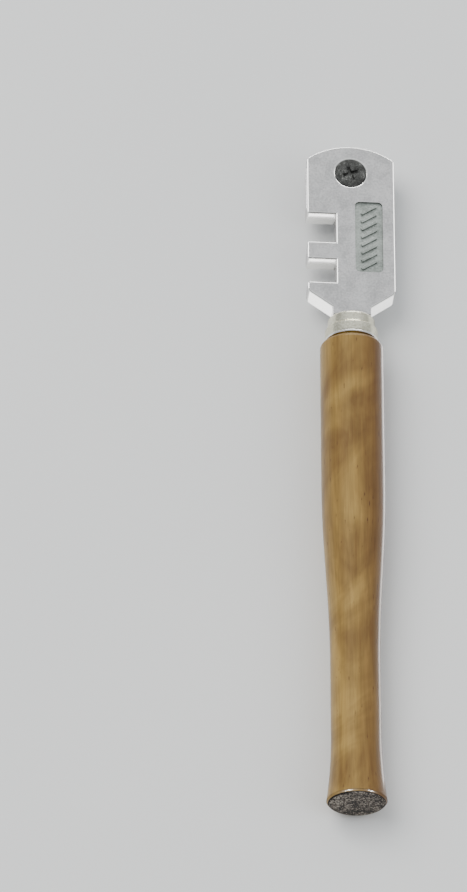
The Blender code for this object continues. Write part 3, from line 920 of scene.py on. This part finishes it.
def copiesRound(first, name):
    # one piece for each wheel; every copy has its own mesh
    pieces = [first]
    first.name = name + "1"
    for number in range(1, turretSettings["wheels"]):
        twin = first.copy()
        twin.data = first.data.copy()
        twin.name = name + str(number + 1)
        bpy.context.scene.collection.objects.link(twin)
        twin.location = wheelPlace(number) - wheelPlace(0)
        pieces.append(settle(twin))
    return pieces


turretSpool = makeTurret(turretSettings)
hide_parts("turret")
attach(turretSpool, "turret")
for number, wheel in enumerate(copiesRound(makeWheel(wheelSettings), "cuttingWheel"), 1):
    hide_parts(f"cutting_wheel_{number}")
    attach(wheel, f"cutting_wheel_{number}")
for number, pin in enumerate(copiesRound(makePin(pinSettings), "wheelPin"), 1):
    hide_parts(f"wheel_pin_{number}")
    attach(pin, "turret")
print("turret, wheels and pins made")


# the ferrule: a drawn cap with a step, a band and a rolled lip

ferrule = {
    "bore": 4.25 * mm,  # radius, as are the cap's and the band's
    "capRadius": 4.55 * mm,
    "capRound": 0.6 * mm,
    "capThickness": 0.6 * mm,
    "band": 5.1 * mm,
    "bandLength": 2.4 * mm,
    "step": 0.5 * mm,  # length of the slope from the cap to the band
    "stepRound": (0.15 * mm, 0.2 * mm),  # where the slope meets the cap and the band
    "lip": 0.1 * mm,  # how far it stands out from the band
    "lipLength": 0.5 * mm,
    "lipSteps": 8,
    "groove": (0.07 * mm, 0.16 * mm),  # depth and length, between the band and the lip
    "neckPlay": 0.1 * mm,
}


def makeFerrule(s):
    top, end = ferruleHigh.y, ferruleLow.y
    cap, band = s["capRadius"], s["band"]
    bandTop = end + s["bandLength"]
    stepTop = bandTop + s["step"]
    innerTop = top - s["capThickness"]
    lipTop = end + s["lipLength"]
    grooveDepth, grooveLength = s["groove"]
    profile = [(0, top)]
    profile += roundCorner((0, top), (cap, top), (cap, end), s["capRound"], 10)
    profile += roundCorner((cap, top), (cap, stepTop), (band, bandTop), s["stepRound"][0], 4)
    profile += roundCorner((cap, stepTop), (band, bandTop), (band, end), s["stepRound"][1], 6)
    profile += [(band, lipTop + grooveLength), (band - grooveDepth, lipTop + grooveLength / 2)]
    for step in range(s["lipSteps"] + 1):
        # the rolled lip swells out to the ferrule's widest
        turn = pi / 2 - pi * step / s["lipSteps"]
        profile.append((band - grooveDepth + (s["lip"] + grooveDepth) * cos(turn),
                        end + s["lipLength"] / 2 * (1 + sin(turn))))
    profile += [(s["bore"], end), (s["bore"], innerTop), (0, innerTop)]
    piece = lathe("ferruleCap", profile, (0, 0, axisHeight), axis="Y")
    halfHole = Vector((head["halfNeck"] + s["neckPlay"], 2 * s["capThickness"],
                       (headHigh.z - headLow.z) / 2 - head["neckStep"] + s["neckPlay"]))
    middle = Vector((0, top, axisHeight))
    carve(piece, addBox("neckHole", middle - halfHole, middle + halfHole))
    setMaterials(piece, metals["ferruleNickel"], metals["polishAndHighlight"])
    for face in piece.data.polygons:
        # the rolled lip is in the near-white metal: partly polish, partly painted highlight
        onLip = face.center.y < lipTop and fromAxis(face.center).length > band - grooveDepth
        face.material_index = 1 if onLip else 0
    smoothByAngle(piece, 32)
    return piece


ferruleCap = makeFerrule(ferrule)
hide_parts("ferrule")
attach(ferruleCap, "tool_body")
print("ferrule made")


# the handle: turned wood, varnished, with a sawn end

handleSettings = {
    # places along the tool are measured down from the arch's top
    "bore": 2.08 * mm,
    "boreEnd": 62.9 * mm,
    "tenon": 4.17 * mm,
    "tenonTop": 39.0 * mm,
    "shoulder": 43.1 * mm,
    "shoulderRound": 1.0 * mm,
    "shoulderShade": (0.05 * mm, 0.30 * mm),  # a painted shade line this far below the shoulder, just under the ferrule's lip
    "gripEnd": 74.0 * mm,
    "waistStart": 110.0 * mm,
    "waistEnd": 126.0 * mm,
    "waist": 4.75 * mm,
    "foot": 5.8 * mm,
    "footRound": 0.95 * mm,
    "rings": (26, 36, 16, 20),  # facets along the grip, the taper, the waist and the foot
    "turns": 160,  # and round the handle
    "endRings": 16,
    "rim": 0.28 * mm,  # a painted shade band on the foot's round starts this far above the sawn end
    "rimInner": 0.58 * mm,  # and ends this far in from the side
    "torn": 0.07 * mm,  # roughness of the sawn end
    "tornScale": (1400, 3100),  # of the coarse and the fine fibres
    "wobble": 0.035 * mm,  # unevenness left by hand sanding
    "wobbleScale": 150,
}


def smoothStep(share):
    return share * share * (3 - 2 * share)


def runDown(start, end, steps, radiusAt):
    # points down one stretch of the profile, without its first
    shares = [step / steps for step in range(1, steps + 1)]
    return [(radiusAt(share), start + (end - start) * share) for share in shares]


def handleProfile(s):
    grip, end = (handleHigh.x - handleLow.x) / 2, handleLow.y
    waist, foot = s["waist"], s["foot"]
    places = ("boreEnd", "tenonTop", "shoulder", "gripEnd", "waistStart", "waistEnd")
    boreEnd, tenonTop, shoulder, gripEnd, waistStart, waistEnd = [archTop - s[name] for name in places]
    gripRings, taperRings, waistRings, footRings = s["rings"]
    profile = [(0, boreEnd), (s["bore"], boreEnd), (s["bore"], tenonTop), (s["tenon"], tenonTop),
               (s["tenon"], shoulder)]
    profile += roundCorner((s["tenon"], shoulder), (grip, shoulder), (grip, end), s["shoulderRound"], 10)
    profile += runDown(shoulder - s["shoulderRound"], gripEnd, gripRings, lambda share: grip)
    profile += runDown(gripEnd, waistStart, taperRings,
                       lambda share: grip + (waist - grip) * smoothStep(share))
    profile += runDown(waistStart, waistEnd, waistRings, lambda share: waist)
    profile += runDown(waistEnd, end, footRings, lambda share: waist + (foot - waist) * share**2)
    profile.pop()  # the foot's round takes the place of its corner
    profile += roundCorner(profile[-1], (foot, end), (0, end), s["footRound"], 10)
    flatRadius = foot - s["footRound"]
    for ring in range(1, s["endRings"] + 1):
        profile.append((flatRadius * (1 - ring / s["endRings"]), end))
    return profile


def roughen(item, s):
    # hand-sanded waves along the grip, and torn fibres on the sawn end
    coarse, fine = s["tornScale"]
    for vert in item.data.vertices:
        out = fromAxis(vert.co)
        if vert.co.y < handleLow.y + near and out.length < s["foot"] - s["footRound"]:
            flat = Vector((vert.co.x, 0, vert.co.z))
            torn = noiseAt(flat * coarse) + 0.6 * noiseAt(vert.co * fine)
            vert.co.y += s["torn"] * (0.5 + 0.3 * torn)
        elif out.length > s["tenon"] + near and vert.co.y < archTop - s["shoulder"]:
            wave = noiseAt(vert.co * s["wobbleScale"])
            vert.co -= out.normalized() * s["wobble"] * (0.5 + 0.5 * wave)


def finishOf(face, s):
    # 0 varnished wood, 1 sawn end, 2 painted shade band at the foot's edge, 3 painted shade line below
    # the shoulder
    belowShoulder = archTop - s["shoulder"] - face.center.y
    if s["shoulderShade"][0] < belowShoulder < s["shoulderShade"][1]:
        return 3
    if face.center.y > handleLow.y + s["rim"]:
        return 0
    return 1 if fromAxis(face.center).length < s["foot"] - s["rimInner"] else 2


def makeHandle(s):
    piece = lathe("handleTurned", handleProfile(s), (0, 0, axisHeight), axis="Y", steps=s["turns"])
    roughen(piece, s)
    setMaterials(piece, varnishedWood, endGrain, footShadeBand, shoulderShadeLine)
    for face in piece.data.polygons:
        face.material_index = finishOf(face, s)
    smoothByAngle(piece, 50)
    return piece


handlePiece = makeHandle(handleSettings)
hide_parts("handle")
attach(handlePiece, "tool_body")
print("handle made")

setGlosses(glossSettings, {"handle": handlePiece, "head": headCasting})
print("gloss lights set")
